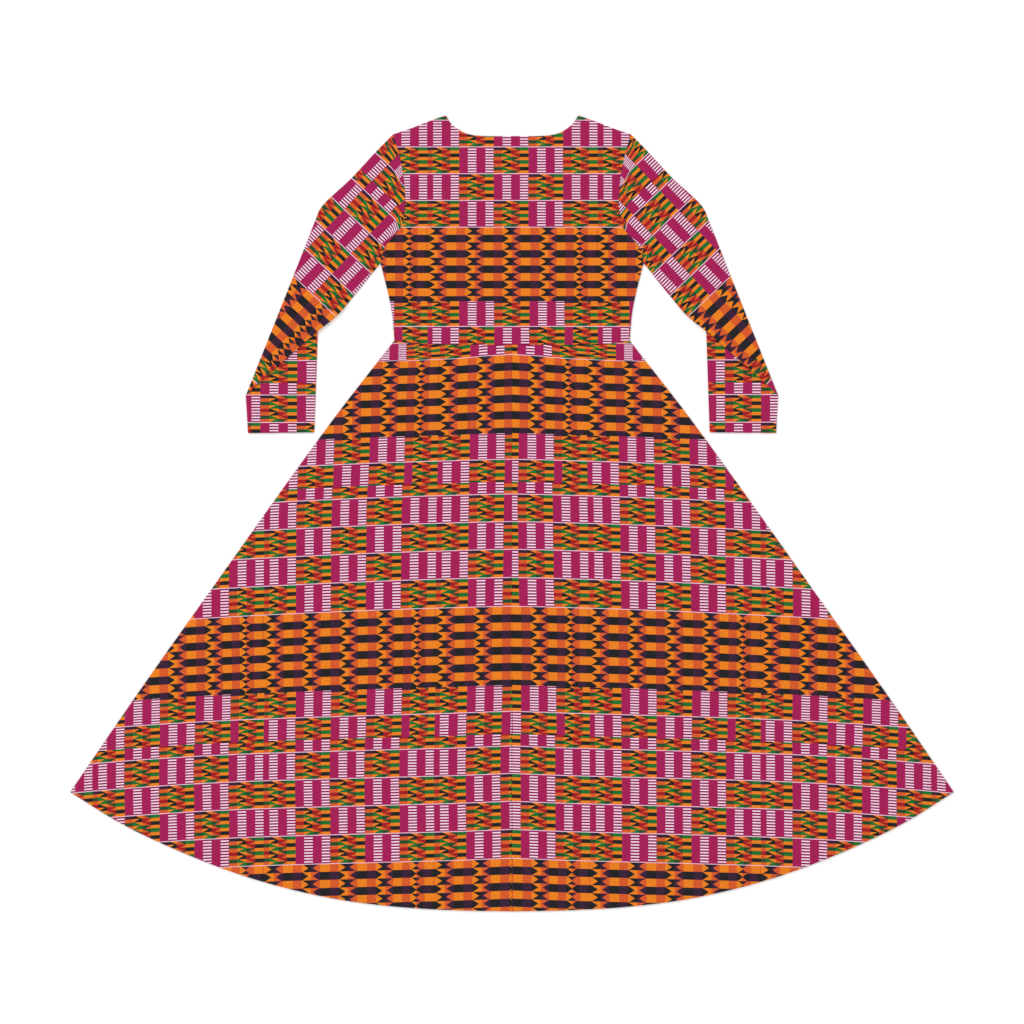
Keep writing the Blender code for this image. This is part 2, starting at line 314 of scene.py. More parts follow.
# How the print lies on a piece: its turn in degrees, how much of it a millimetre of the piece takes
# across and along, and where on its tile the dress's centre line and shoulder height come
Lay = namedtuple("Lay", "turn across u along v")
BODICE_LAY = Lay(turn=0.0, across=1 / 0.976, u=147.2, along=1 / 0.952, v=12.4)
LEFT_ARM_LAY = Lay(turn=43.5, across=1.0, u=272.7, along=1.012, v=-247.1)
RIGHT_ARM_LAY = Lay(turn=-43.5, across=0.987, u=22.5, along=1.013, v=-247.9)
LEFT_FOREARM_LAY = Lay(turn=0.0, across=1 / 1.028, u=471.1547, along=1.0236, v=-465.5)
RIGHT_FOREARM_LAY = Lay(turn=0.0, across=1 / 1.014, u=-301.8506, along=1.017, v=-461.6)


def laid(lay, out, down):
    """Where on the print each plan point is, as u and v."""
    turn = np.radians(lay.turn)
    u = np.cos(turn) * out + np.sin(turn) * down
    v = np.cos(turn) * down - np.sin(turn) * out
    return u * lay.across + lay.u, v * lay.along + lay.v


bodice_print = partial(laid, BODICE_LAY)
left_forearm_print = partial(laid, LEFT_FOREARM_LAY)
right_forearm_print = partial(laid, RIGHT_FOREARM_LAY)


def front_bodice_print(out, down):
    """The front is printed the same way up, and read from the other side."""
    return bodice_print(-out, down)


# How far the skirt's rows drop away from the centre seam, by how far out they are
ROW_OUT = (0, 50, 95, 156, 218, 279, 340, 401, 462, 524, 585, 646, 707, 760)
ROW_DROP_HIGH = (0, 3.2, 6.2, 8.8, 10.7, 12.6, 14.5, 16.4, 18.3, 20.2, 22.1, 24.0, 25.9, 27.8)
ROW_DROP_MIDDLE = (0, 0.9, 2.2, 3.9, 6.0, 8.4, 11.1, 14.0, 17.1, 20.6, 24.4, 28.3, 32.2, 36.1)
ROW_DROP_LOW = (0, 1.9, 3.6, 5.2, 6.9, 8.4, 10.0, 11.8, 14.0, 16.9, 20.5, 24.8, 29.7, 34.6)
ROW_DOWN = (407, 595, 820, 1120)

# The printed cloth is stretched or eased a little across, by how far down it is
ACROSS_DOWN = (400, 560, 680, 800, 1080)
ACROSS = (0.972, 0.977, 0.987, 0.985, 0.9775)

# The skirt's cloth is printed a little unevenly: how far, by the place down the print's tile
UNEVEN_V = (21, 68, 116, 164, 212, 300, 342, 389, 415)
UNEVEN_BY = (0.0, 1.0, 1.6, 1.5, 0.2, 0.0, -1.3, -1.0, 0.0)

# Where on the print's tile the skirt starts, and the front's centre line
SKIRT_V = -622.5
FRONT_CENTRE_U = 130.0


def skirt_drop(out, down):
    """How far the print's rows drop away from the centre seam at each point of the skirt."""
    out = np.abs(out)
    high = np.interp(out, ROW_OUT, ROW_DROP_HIGH)
    middle = np.interp(out, ROW_OUT, ROW_DROP_MIDDLE)
    low = np.interp(out, ROW_OUT, ROW_DROP_LOW)
    upper_share = soft_step((down - ROW_DOWN[0]) / (ROW_DOWN[1] - ROW_DOWN[0]))
    lower_share = soft_step((down - ROW_DOWN[2]) / (ROW_DOWN[3] - ROW_DOWN[2]))
    drop = high + (middle - high) * upper_share
    return drop + (low - middle) * lower_share


# The cloth is eased into the waist seam, most of all towards the sides
WAIST_EASE = 19.0
WAIST_EASE_DOWN = (390, 418)
WAIST_EASE_OUT = (50, 180)
WAIST_TUCK = 4.5
WAIST_TUCK_OUT = (70, 190)
WAIST_TUCK_DOWN = (415, 470)


def waist_ease(out, down):
    """How far the print is drawn out sideways and up into the waist seam."""
    start, end = WAIST_EASE_DOWN
    near = np.maximum(end - down, 0) / (end - start)
    up = WAIST_EASE * np.interp(np.abs(out), WAIST_EASE_OUT, (0, 1)) * near
    tuck = WAIST_TUCK * np.interp(np.abs(out), WAIST_TUCK_OUT, (0, 1))
    return tuck * np.sign(out) * np.interp(down, WAIST_TUCK_DOWN, (1, 0)), up


def skirt_print(out, down, seam):
    """The print on a half skirt. seam is the cloth's u at the centre seam."""
    across = np.interp(down, ACROSS_DOWN, ACROSS)
    aside, up = waist_ease(out, down)
    v = down - skirt_drop(out, down) - up + SKIRT_V
    return seam + (out + aside) / across, v + np.interp(v % TILE_HEIGHT, UNEVEN_V, UNEVEN_BY)


# Each back half's centre seam: where it is on the tile, and how far that shifts lower down, where the
# seam takes up less cloth. The cloth also sways a little sideways on its way down.
TAPER_DOWN = (450, 1100)
BackHalf = namedtuple("BackHalf", "seam_u taper sway sway_down")
LEFT_HALF = BackHalf(128.1, 5.7, (0.0, -0.5, -0.5, 1.5, 2.0, 1.0), (850, 930, 980, 1077, 1135, 1200))
RIGHT_HALF = BackHalf(166.3, -5.7, (0.0, 1.0, 1.0, 0.5, 0.8, 0.0), (560, 640, 730, 900, 1019, 1190))


def back_skirt_print(half, out, down):
    """The print on one half of the back of the skirt."""
    tapered = soft_step((down - TAPER_DOWN[0]) / (TAPER_DOWN[1] - TAPER_DOWN[0]))
    sway = np.interp(down, half.sway_down, half.sway)
    return skirt_print(out + sway, down, half.seam_u + half.taper * tapered)


left_skirt_print = partial(back_skirt_print, LEFT_HALF)
right_skirt_print = partial(back_skirt_print, RIGHT_HALF)


def front_skirt_print(out, down):
    """The front of the skirt is one piece, read from the other side."""
    return skirt_print(-out, down, FRONT_CENTRE_U)


# The sleeve's ease is drawn in along the armhole. It drags the print down beside the seam, and further
# down the seam it takes cloth from across the sleeve instead
ARMHOLE_PULL = 11.0
PULL_DOWN = (110, 135, 170, 190, 200, 215)
PULL_SHARE = (1.0, 0.3, 0.3, 0.8, 0.7, 0.0)
REACH_DOWN = (180, 205)
PULL_REACH = (17.0, 8.0)
ARMHOLE_EASE = 10.0
EASE_REACH = 14.0
EASE_DOWN = (200, 225)

# The right sleeve's bend drags its print across a little, towards the elbow
ELBOW_DRAG = 4.0
ELBOW_DRAG_START = 345.0
ELBOW_DRAG_REACH = 50.0


def armhole_pull(out, down):
    """How far the print moves across and along the sleeve beside the armhole."""
    place = np.stack([np.abs(out), down], axis=-1)
    distance = distance_to(place, sample(ARMHOLE, ARMHOLE_STEPS))
    lower = soft_step((down - EASE_DOWN[0]) / (EASE_DOWN[1] - EASE_DOWN[0]))
    across = ARMHOLE_EASE * soft_step(1 - distance / EASE_REACH) * lower
    reach = np.interp(down, REACH_DOWN, PULL_REACH)
    along = ARMHOLE_PULL * soft_step(1 - distance / reach) * np.interp(down, PULL_DOWN, PULL_SHARE)
    return across, along


def left_arm_print(out, down):
    across, along = armhole_pull(out, down)
    u, v = laid(LEFT_ARM_LAY, out, down)
    return u + across, v - along


def right_arm_print(out, down):
    across, along = armhole_pull(out, down)
    u, v = laid(RIGHT_ARM_LAY, out, down)
    bent = ELBOW_DRAG * soft_step((v - ELBOW_DRAG_START) / ELBOW_DRAG_REACH)
    return u - across + bent, v - along


class Cloth:
    """A closed mesh in the making: its points, their places in plan, and faces on either side."""

    OUTSIDE = 0
    REVERSE = 1

    def __init__(self):
        self.points = []
        self.plans = []
        self.faces = []
        self.sides = []
        self.maps = []
        self.count = 0

    def add_points(self, plan, height, side):
        """Puts a block of points in, and gives their numbers in the same rows and columns."""
        points = placed(plan, height, side)
        self.points.append(points.reshape(-1, 3))
        self.plans.append((plan * [side, 1]).reshape(-1, 2))
        numbers = self.count + np.arange(points[..., 0].size).reshape(points.shape[:-1])
        self.count += numbers.size
        return numbers

    def add_faces(self, numbers, side, print_map, closed=False):
        """Faces between rows of point numbers. A closed block's last column meets its first."""
        following = np.roll(numbers, -1, axis=1) if closed else numbers[:, 1:]
        here = numbers if closed else numbers[:, :-1]
        squares = np.stack([here[:-1], following[:-1], following[1:], here[1:]], axis=-1)
        squares = squares.reshape(-1, 4)
        self.faces.append(squares)
        self.sides.append(np.full(len(squares), side))
        self.maps.append((print_map, len(squares)))

    def add_cap(self, ring, print_map):
        """Closes a ring of six points with two faces."""
        squares = np.array([ring[[0, 1, 2, 3]], ring[[3, 4, 5, 0]]])
        self.faces.append(squares)
        self.sides.append(np.full(2, Cloth.OUTSIDE))
        self.maps.append((print_map, 2))

    def build(self, name, materials):
        """Makes the object, with its faces turned out and its print laid on it."""
        points = np.concatenate(self.points)
        plans = np.concatenate(self.plans)
        faces = np.concatenate(self.faces)
        mesh = bpy.data.meshes.new(name)
        mesh.from_pydata(points.tolist(), [], faces.tolist())
        for material in materials:
            mesh.materials.append(material)
        mesh.polygons.foreach_set("material_index", np.concatenate(self.sides).astype(np.int32))
        layer = mesh.uv_layers.new(name="print")
        corners = []
        first = 0
        for print_map, count in self.maps:
            used = plans[faces[first : first + count]]
            u, v = print_map(used[..., 0], used[..., 1])
            corners.append(np.stack([u, v], axis=-1).reshape(-1, 2))
            first += count
        layer.uv.foreach_set("vector", (np.concatenate(corners) * MILLIMETRE).astype(np.float32).ravel())
        builder = bmesh.new()
        builder.from_mesh(mesh)
        bmesh.ops.recalc_face_normals(builder, faces=builder.faces)
        builder.to_mesh(mesh)
        builder.free()
        mesh.shade_smooth()
        piece = bpy.data.objects.new(name, mesh)
        bpy.context.collection.objects.link(piece)
        return piece


def rim_of(grid):
    """The numbers or points round a grid's border, in order."""
    return np.concatenate([grid[0, :-1], grid[:-1, -1], grid[-1, :0:-1], grid[:0:-1, 0]])


def inward(rim):
    """For each point of a closed rim, the direction into the panel."""
    along = np.roll(rim, -1, axis=0) - np.roll(rim, 1, axis=0)
    along /= np.linalg.norm(along, axis=1, keepdims=True)
    turned = np.stack([-along[:, 1], along[:, 0]], axis=1)
    area = np.sum(rim[:, 0] * np.roll(rim[:, 1], -1) - np.roll(rim[:, 0], -1) * rim[:, 1])
    return turned * np.sign(area)


def set_rim(grid, values):
    """Puts values round a grid's border, in the order that rim_of gives them."""
    rows, columns = grid.shape[:2]
    right = columns - 1
    bottom = right + rows - 1
    left = bottom + columns - 1
    grid[0, :-1] = values[:right]
    grid[:-1, -1] = values[right:bottom]
    grid[-1, :0:-1] = values[bottom:left]
    grid[:0:-1, 0] = values[left:]


def panel(name, plan, low, thickness, side, print_map, outside_up, materials):
    """A wall of cloth over a grid of plan points, with a rounded rim."""
    cloth = Cloth()
    rim = rim_of(plan)
    into = inward(rim)
    inner = plan.copy()
    set_rim(inner, rim + RIM_RADIUS * into)
    low = np.broadcast_to(low, plan.shape[:2])
    high = low + thickness
    upper = cloth.add_points(inner, high, side)
    lower = cloth.add_points(inner, low, side)
    upper_face = Cloth.OUTSIDE if outside_up else Cloth.REVERSE
    lower_face = Cloth.REVERSE if outside_up else Cloth.OUTSIDE
    cloth.add_faces(upper, upper_face, print_map)
    cloth.add_faces(lower, lower_face, print_map)
    middle = rim_of((low + high) / 2)
    half = rim_of((high - low) / 2)
    rings = [rim_of(upper)]
    for angle in RIM_ANGLES:
        place = rim + RIM_RADIUS * (1 - np.cos(angle)) * into
        rings.append(cloth.add_points(place, middle + half * np.sin(angle), side))
    rings.append(rim_of(lower))
    cloth.add_faces(np.array(rings), Cloth.OUTSIDE, print_map, closed=True)
    return cloth.build(name, materials)


def front_panel(name, half, print_map, materials):
    """A hidden front panel from its right half, outside down on the surface."""
    return panel(name, mirrored(half), 0.0, WALL, 1, print_map, False, materials)


def back_bodice(name, print_map, materials):
    """The back panel of the bodice, with its neck turned under."""
    plan = mirrored(half_bodice(BACK_NECK))
    neck = sample(BACK_NECK, NECK_STEPS)
    neck = np.concatenate([neck[:0:-1] * [-1, 1], neck])
    low = WALL + SEAM_GAP + (CROWN + ripples(plan, 1)) * edge_rise(plan)
    thickness = WALL + hem_lift(plan, neck)
    return panel(name, plan, low, thickness, 1, print_map, True, materials)


def back_skirt(name, side, print_map, materials):
    """Half of the back of the skirt, from its centre seam outwards, with its hem turned under."""
    plan = half_skirt(BACK_SKIRT_DROPS, SEAM_SLIT / 2)
    lift = (CROWN + flutes(plan) + ripples(plan, side)) * edge_rise(plan)
    thickness = WALL + hem_lift(plan, sample(HEM, PANEL_STEPS))
    return panel(name, plan, WALL + SEAM_GAP + lift, thickness, side, print_map, True, materials)


def tuck_lift(plan, fold):
    """How far the tucked layers raise each point of the upper arm. fold is the elbow fold's points."""
    across = np.linspace(0, 1, plan.shape[1])[None, :]
    behind = np.linalg.norm(plan - fold[None], axis=2)
    depth = TUCK_DEPTH * across
    raised = soft_step((depth + TUCK_SLOPE - behind) / TUCK_SLOPE)
    return TUCK_HEIGHT * raised * soft_step(across / TUCK_START)


# The elbow's fold, ring by ring from the upper arm to the forearm. The upper side turns back under its
# own lip, and on again over the forearm. top and bottom are how far past the fold line each side of the
# ring is, and height is how far its upper side is above the forearm's, as a share of the tuck's height.
FoldRing = namedtuple("FoldRing", "top height bottom")
FOLD_RINGS = (
    FoldRing(-4.2, 1.0, -4.2),
    FoldRing(-2.0, 0.99, -3.2),
    FoldRing(-0.8, 0.92, -2.4),
    FoldRing(-0.1, 0.74, -1.6),
    FoldRing(0.1, 0.5, -1.0),
    FoldRing(-0.1, 0.27, -0.5),
    FoldRing(-0.9, 0.1, 0.0),
    FoldRing(-3.4, 0.06, 0.4),
    FoldRing(-3.4, 0.01, 0.8),
    FoldRing(-0.9, 0.0, 1.2),
    FoldRing(1.6, 0.0, 1.6),
)
FOREARM_RING = 8

# A sleeve's folded edges are half ovals, seen as these angles from its lower side to its upper side
EDGE_RADIUS = 1.35
EDGE_ANGLES = np.radians([-60, -30, 0, 30, 60])


def past_fold(fold, distance, back, on):
    """Points of a fold, moved along on by distance, or along back where that is negative."""
    distance = np.broadcast_to(distance, len(fold))[:, None]
    return fold + np.maximum(-distance, 0) * back + np.maximum(distance, 0) * on


def sleeve_rings():
    """The sleeve's rings from armhole to cuff: where their two sides are, and how far both are lifted."""
    armhole = shifted(sample(ARMHOLE, ARMHOLE_STEPS), SEAM_SLIT / 2)
    fold = sample(ELBOW_FOLD, ARMHOLE_STEPS)
    outer = sample(SLEEVE_OUTER, UPPER_ARM_STEPS)
    inner = sample(SLEEVE_INNER, UPPER_ARM_STEPS)
    outer[0] = armhole[0]
    inner[0] = armhole[-1]
    upper = patch(armhole, fold, outer, inner)
    forearm = patch(
        fold,
        np.linspace(CUFF_OUTER, CUFF_INNER, ARMHOLE_STEPS + 1),
        np.linspace(ELBOW_POINT, CUFF_OUTER, FOREARM_STEPS + 1),
        np.linspace(ELBOW_CROOK, CUFF_INNER, FOREARM_STEPS + 1),
    )
    plan = np.concatenate([upper[:-1], forearm])
    cuff = plan[-1]
    crown = (CROWN + ripples(plan, 1)) * edge_rise(plan)
    tuck = tuck_lift(upper, fold)
    back = upper[-2] - upper[-1]
    back /= np.linalg.norm(back, axis=1, keepdims=True)
    on = forearm[1] - forearm[0]
    on /= np.linalg.norm(on, axis=1, keepdims=True)
    depth = tuck[-1] / TUCK_HEIGHT
    tops = list(upper[:-1])
    bottoms = list(upper[:-1])
    crowns = list(crown[:UPPER_ARM_STEPS])
    tucks = list(tuck[:-1])
    for ring in FOLD_RINGS:
        top = ring.bottom + (ring.top - ring.bottom) * depth
        tops.append(past_fold(fold, top, back, on))
        bottoms.append(past_fold(fold, ring.bottom, back, on))
        crowns.append(crown[UPPER_ARM_STEPS])
        tucks.append(tuck[-1] * ring.height)
    tops += list(forearm[1:])
    bottoms += list(forearm[1:])
    crowns += list(crown[UPPER_ARM_STEPS + 1 :])
    tucks += [np.zeros(ARMHOLE_STEPS + 1)] * FOREARM_STEPS
    tops = np.array(tops)
    return tops, np.array(bottoms), np.array(crowns), np.array(tucks), hem_lift(tops, cuff)


def ring_points(tops, bottoms, inset, radius, low, high):
    """Rings round a flattened tube: along its lower side and back along its top, round its edges."""
    sides = []
    for plan in (tops, bottoms):
        span = plan[:, -1] - plan[:, 0]
        span /= np.linalg.norm(span, axis=1, keepdims=True)
        flat = plan.copy()
        flat[:, 0] += (inset + radius) * span
        flat[:, -1] -= (inset + radius) * span
        sides.append((plan, flat, span))
    (top, top_flat, top_span), (bottom, bottom_flat, bottom_span) = sides
    edges = []
    for column, inwards in ((0, 1), (-1, -1)):
        plans = []
        heights = []
        for angle in EDGE_ANGLES:
            share = (1 + np.sin(angle)) / 2
            distance = inwards * (inset + radius * (1 - np.cos(angle)))
            upper = top[:, column] + distance * top_span
            lower = bottom[:, column] + distance * bottom_span
            plans.append(lower + (upper - lower) * share)
            heights.append(low[:, column] + (high - low)[:, column] * share)
        edges.append((np.stack(plans, axis=1), np.stack(heights, axis=1)))
    (outer_plan, outer_height), (inner_plan, inner_height) = edges
    plan = np.concatenate([bottom_flat, inner_plan, top_flat[:, ::-1], outer_plan[:, ::-1]], axis=1)
    height = np.concatenate([low, inner_height, high[:, ::-1], outer_height[:, ::-1]], axis=1)
    return plan, height


def sleeve(name, side, arm_print, forearm_print, materials):
    """A flattened tube, open at the armhole and the cuff, with its elbow folded over."""
    tops, bottoms, crown, tuck, hem = sleeve_rings()
    for plan in (tops, bottoms):
        for end, neighbour in ((0, 1), (-1, -2)):
            step = plan[neighbour] - plan[end]
            plan[end] += RIM_RADIUS * step / np.linalg.norm(step, axis=1, keepdims=True)
    base = WALL + SEAM_GAP + crown
    under = np.zeros_like(crown)
    outside = ring_points(tops, bottoms, 0.0, EDGE_RADIUS, under, base + tuck + WALL + hem)
    hollow = WALL + SEAM_GAP + crown * (tuck <= 0)
    inside = ring_points(bottoms, bottoms, WALL, SEAM_GAP / 2, under + WALL, hollow)
    cloth = Cloth()
    outer = cloth.add_points(*outside, side)
    inner = cloth.add_points(*inside, side)
    turn = UPPER_ARM_STEPS + FOREARM_RING
    for numbers, face in ((outer, Cloth.OUTSIDE), (inner, Cloth.REVERSE)):
        cloth.add_faces(numbers[: turn + 1], face, arm_print, closed=True)
        cloth.add_faces(numbers[turn:], face, forearm_print, closed=True)
    for end, neighbour, print_map in ((0, 1, arm_print), (-1, -2, forearm_print)):
        on = inside[0][end] - inside[0][neighbour]
        on /= np.linalg.norm(on, axis=1, keepdims=True)
        rings = [outer[end]]
        for angle in RIM_ANGLES:
            share = (1 + np.sin(angle)) / 2
            plan = inside[0][end] + (outside[0][end] - inside[0][end]) * share
            height = inside[1][end] + (outside[1][end] - inside[1][end]) * share
            rings.append(cloth.add_points(plan + RIM_RADIUS * np.cos(angle) * on, height, side))
        rings.append(inner[end])
        cloth.add_faces(np.array(rings), Cloth.OUTSIDE, print_map, closed=True)
    return cloth.build(name, materials)


def stitches(name, cloth_piece, curves, side, print_map, materials):
    """Rows of stitches on a piece, each a short rounded thread. curves has plan points for each row."""
    tree = BVHTree.FromObject(cloth_piece, bpy.context.evaluated_depsgraph_get())
    thread = Cloth()
    for curve in curves:
        lengths = np.concatenate([[0], np.cumsum(np.linalg.norm(np.diff(curve, axis=0), axis=1))])
        count = int(lengths[-1] / STITCH_PITCH)
        starts = (np.arange(count) + 0.5) * lengths[-1] / count
        for centre in starts:
            add_stitch(thread, tree, curve, lengths, centre, side, print_map)
    return thread.build(name, materials)


def add_stitch(thread, tree, curve, lengths, centre, side, print_map):
    """One stitch along a row: rings of thread that narrow and dip at its ends."""
    along = np.array([ring.along for ring in STITCH_RINGS]) * STITCH_LENGTH
    width = np.array([ring.fullness for ring in STITCH_RINGS]) * STITCH_WIDTH / 2
    dip = np.array([ring.dip for ring in STITCH_RINGS])
    middle = np.stack([np.interp(centre + along, lengths, curve[:, i]) for i in (0, 1)], axis=1)
    forward = middle[-1] - middle[0]
    forward /= np.linalg.norm(forward)
    across = np.array([-forward[1], forward[0]])
    where = placed(middle.mean(axis=0), 0.0, side)
    hit = tree.ray_cast((where[0], where[1], ABOVE_ALL), (0, 0, -1))[0]
    if hit is None:
        return
    round_it = width[:, None] * np.cos(STITCH_ANGLES)
    plan = middle[:, None] + round_it[..., None] * across
    height = hit.z / MILLIMETRE - dip[:, None] + width[:, None] * np.sin(STITCH_ANGLES)
    numbers = thread.add_points(plan, height, side)
    thread.add_faces(numbers, Cloth.OUTSIDE, print_map, closed=True)
    for end in (numbers[0], numbers[-1]):
        thread.add_cap(end, print_map)


def math_node(operation):
    """A method that adds one node of arithmetic."""
    return lambda signal, *others: signal.math(operation, *others)


class Signal:
    """A number worked out at each point of a surface. Arithmetic on it adds to its material's nodes."""

    def __init__(self, tree, socket):
        self.tree = tree
        self.socket = socket

    def math(self, operation, *others):
        """One node of arithmetic on this and others, which are signals or numbers."""
        node = self.tree.nodes.new("ShaderNodeMath")
        node.operation = operation
        for place, value in zip(node.inputs, (self, *others)):
            if isinstance(value, Signal):
                self.tree.links.new(value.socket, place)
            else:
                place.default_value = value
        return Signal(self.tree, node.outputs[0])

    __add__ = math_node("ADD")
    __sub__ = math_node("SUBTRACT")
    __mul__ = math_node("MULTIPLY")
    __truediv__ = math_node("DIVIDE")
    __gt__ = math_node("GREATER_THAN")
    __lt__ = math_node("LESS_THAN")
    __abs__ = math_node("ABSOLUTE")
    floor = math_node("FLOOR")
    either = math_node("MAXIMUM")
    at_most = math_node("MINIMUM")

    def part(self):
        """What is left of it above the whole number below it."""
        return self.math("FRACT")

    def odd(self):
        """1 where this whole number is odd, and 0 where it is even."""
        return (self / 2).part() > 0.25

    def invert(self):
        """1 for 0, and 0 for 1."""
        return (self * -1) + 1

    def within(self, low, high):
        return (self > low) * (self < high)

    def choose(self, yes, no):
        """yes where this is 1, and no where it is 0."""
        if isinstance(no, Signal):
            gap = (no * -1) + yes
            return self.math("MULTIPLY_ADD", gap, no)
        if isinstance(yes, Signal):
            return self.math("MULTIPLY_ADD", yes - no, no)
        return self.math("MULTIPLY_ADD", float(yes - no), float(no))


# Colours of the print, each 0 to 255 as a screen shows it
PALETTE = {
    "magenta": (154, 15, 78),
    "dark magenta": (128, 9, 69),
    "white": (240, 206, 225),
    "light orange": (222, 119, 18),
    "orange red": (202, 82, 31),
    "black": (21, 20, 24),
    "purple": (48, 20, 47),
    "green": (18, 103, 37),
    "dark green": (23, 67, 34),
    "crimson": (150, 16, 23),
    "pale line": (229, 190, 210),
}
INK = {name: number for number, name in enumerate(PALETTE)}

# The print's tile, in millimetres: blocks across, rows down, and a band of bow ties
TILE_WIDTH = 296.65
TILE_HEIGHT = 428.2
BLOCK_WIDTH = 60.35
FIRST_BLOCK_CUT = 5.1
ROW_HEIGHT = 47.8
FIRST_ROW_CUT = 26.9
BAND_START = 211.9
BAND_END = 344.3
LAST_ROWS_START = 341.4
CUT_STRIPE_END = 348.0
LAST_ROWS_CUT = 6.3
LAST_BLOCK_WIDTH = 61.3
SHORT_ROW_END = 389.2
LINE_HEIGHT = 1.3

# A woven block's first three strips end at these shares of its width
STRIP_ENDS = (0.235, 0.497, 0.745)
STRIPES = 8
CRIMSON_AFTER = 3
WIDE_STRIPE = 0.56

# The darts' slanting edges: where each crosses its strip at the top and the bottom of a stripe
DartEdge = namedtuple("DartEdge", "top bottom")
SECOND_EVEN_DART = DartEdge(top=0.2, bottom=1.02)
SECOND_ODD_DART = DartEdge(top=0.72, bottom=0.0)
THIRD_EVEN_DART = DartEdge(top=0.0, bottom=0.85)
THIRD_ODD_DART = DartEdge(top=1.06, bottom=0.36)

# In the last row, the block after this one is woven too, but for its first strip
LAST_CHEQUERED_BLOCK = 3

# A ladder block's ladders lie between these shares of its width, with bars at these shares of its height
LADDERS = ((0.25, 0.495), (0.757, 0.99))
BAR_FIRST = 0.093
BAR_PITCH = 0.1028
SHORT_ROW_BAR_FIRST = 0.149
SHORT_ROW_BAR_PITCH = 0.097
BAR_SHARE = 0.45
BAR_TOP = 0.04
BAR_BOTTOM = 0.97

# The band's stripes, its bow ties and its column of diamonds
BAND_STRIPE = 13.68
TIE_FIRST = 16.9
TIE_PITCH = 64.35
LAST_TIE = 3
TIE_WAIST = 3.7
TIE_FLARE = 10.8
DIAMOND_CENTRE = 265.0
DIAMOND_WAIST = -0.9
DIAMOND_FLARE = 9.3
SHADE_EDGES = (0.9, 16.7, 33.5, 49.0)
LAST_SHADES_SQUEEZE = 1.1
DARK_SHADES_AFTER_DIAMOND = (276.6, 291.2)
LIGHT_SHADE_AFTER_DIAMOND = 279.5
THIN_SHADE_START = 295.0
THIN_SHADE_STRIPES = 3


def screen_colour(colour):
    """A screen colour from 0 to 255 as the linear light that shaders work in."""
    share = np.array(colour) / 255
    linear = np.where(share <= 0.04045, share / 12.92, ((share + 0.055) / 1.055) ** 2.4)
    return (*(float(value) for value in linear), 1.0)


def choice(mask, yes, no):
    """yes where mask is 1, and no where it is 0. Each is a signal or the name of an ink."""
    yes = INK[yes] if isinstance(yes, str) else yes
    no = INK[no] if isinstance(no, str) else no
    return mask.choose(yes, no)


def ladder_block(u, v, short_row):
    """A block with strips of white bars like ladders. The bars are closer where short_row is 1."""
    ladder = u.within(*LADDERS[0]) + u.within(*LADDERS[1])
    short_row_place = (v - SHORT_ROW_BAR_FIRST) / SHORT_ROW_BAR_PITCH
    place = short_row.choose(short_row_place, (v - BAR_FIRST) / BAR_PITCH)
    bar = abs((place + 0.5).part() - 0.5) < BAR_SHARE / 2
    bar = bar * v.within(BAR_TOP, BAR_BOTTOM)
    return choice(ladder, choice(bar, "white", "dark magenta"), "magenta")


def slant(across, edge):
    """How far down its stripe a dart's edge is, by the place across the strip."""
    return (across - edge.top) / (edge.bottom - edge.top)


def woven_block(u, v, cut_short):
    """A block of four strips with eight stripes. The middle strips are cut into darts.

    cut_short is 1 where the band covers the first stripe, which leaves none of it in the fourth strip.
    """
    first, second, third = STRIP_ENDS
    stripe = (v * STRIPES).floor()
    down = (v * STRIPES).part()
    odd = stripe.odd()
    late = (stripe / 2).floor().odd()
    plain = choice(late, "dark green", choice(stripe > CRIMSON_AFTER, "crimson", "purple"))
    first_strip = choice(odd, "orange red", plain)
    across = (u - first) / (second - first)
    dart = down < odd.choose(slant(across, SECOND_ODD_DART), slant(across, SECOND_EVEN_DART))
    second_strip = choice(dart, "light orange", choice(late, "green", "black"))
    across = (u - second) / (third - second)
    dart = down > odd.choose(slant(across, THIRD_ODD_DART), slant(across, THIRD_EVEN_DART))
    red = ((stripe + 1) / 2).floor().odd()
    third_strip = choice(dart, "orange red", choice(red, "crimson", "dark green"))
    wide = abs((v * STRIPES / 2 + 0.25).part() - 0.5) > WIDE_STRIPE / 2
    fourth_strip = choice(wide.either(cut_short), "light orange", choice(late, "black", "green"))
    left = choice(u < first, first_strip, second_strip)
    right = choice(u < third, third_strip, fourth_strip)
    return choice(u < second, left, right)


def tie_band(u, v):
    """Stripes of orange and dark cloth, crossed by columns of bow ties and one of narrow diamonds."""
    stripe = (v - BAND_START) / BAND_STRIPE
    dark_stripe = stripe.floor().odd()
    from_middle = abs(stripe.part() - 0.5) * 2
    place = (u - TIE_FIRST) / TIE_PITCH
    nearest = (place + 0.5).floor().at_most(LAST_TIE)
    from_tie = abs(u - nearest * TIE_PITCH - TIE_FIRST)
    tie = from_tie < from_middle * TIE_FLARE + TIE_WAIST
    diamond = abs(u - DIAMOND_CENTRE) < from_middle * DIAMOND_FLARE + DIAMOND_WAIST
    dark = abs(dark_stripe - tie.either(diamond))
    period = place.floor().at_most(LAST_TIE)
    after = u - period * TIE_PITCH - TIE_FIRST
    after = after * ((place > LAST_TIE) * (LAST_SHADES_SQUEEZE - 1) + 1)
    deep = after.within(*SHADE_EDGES[:2]) + after.within(*SHADE_EDGES[2:])
    deep = deep * (place > 0)
    deep_dark = diamond.either(u.within(*DARK_SHADES_AFTER_DIAMOND))
    thin_shade = (u > THIN_SHADE_START) * (stripe < THIN_SHADE_STRIPES)
    deep_end = dark_stripe.choose(deep_dark, thin_shade.either(u < LIGHT_SHADE_AFTER_DIAMOND))
    deep = (u > DIAMOND_CENTRE).choose(deep_end, deep)
    return choice(dark, choice(deep, "purple", "black"), choice(deep, "orange red", "light orange"))


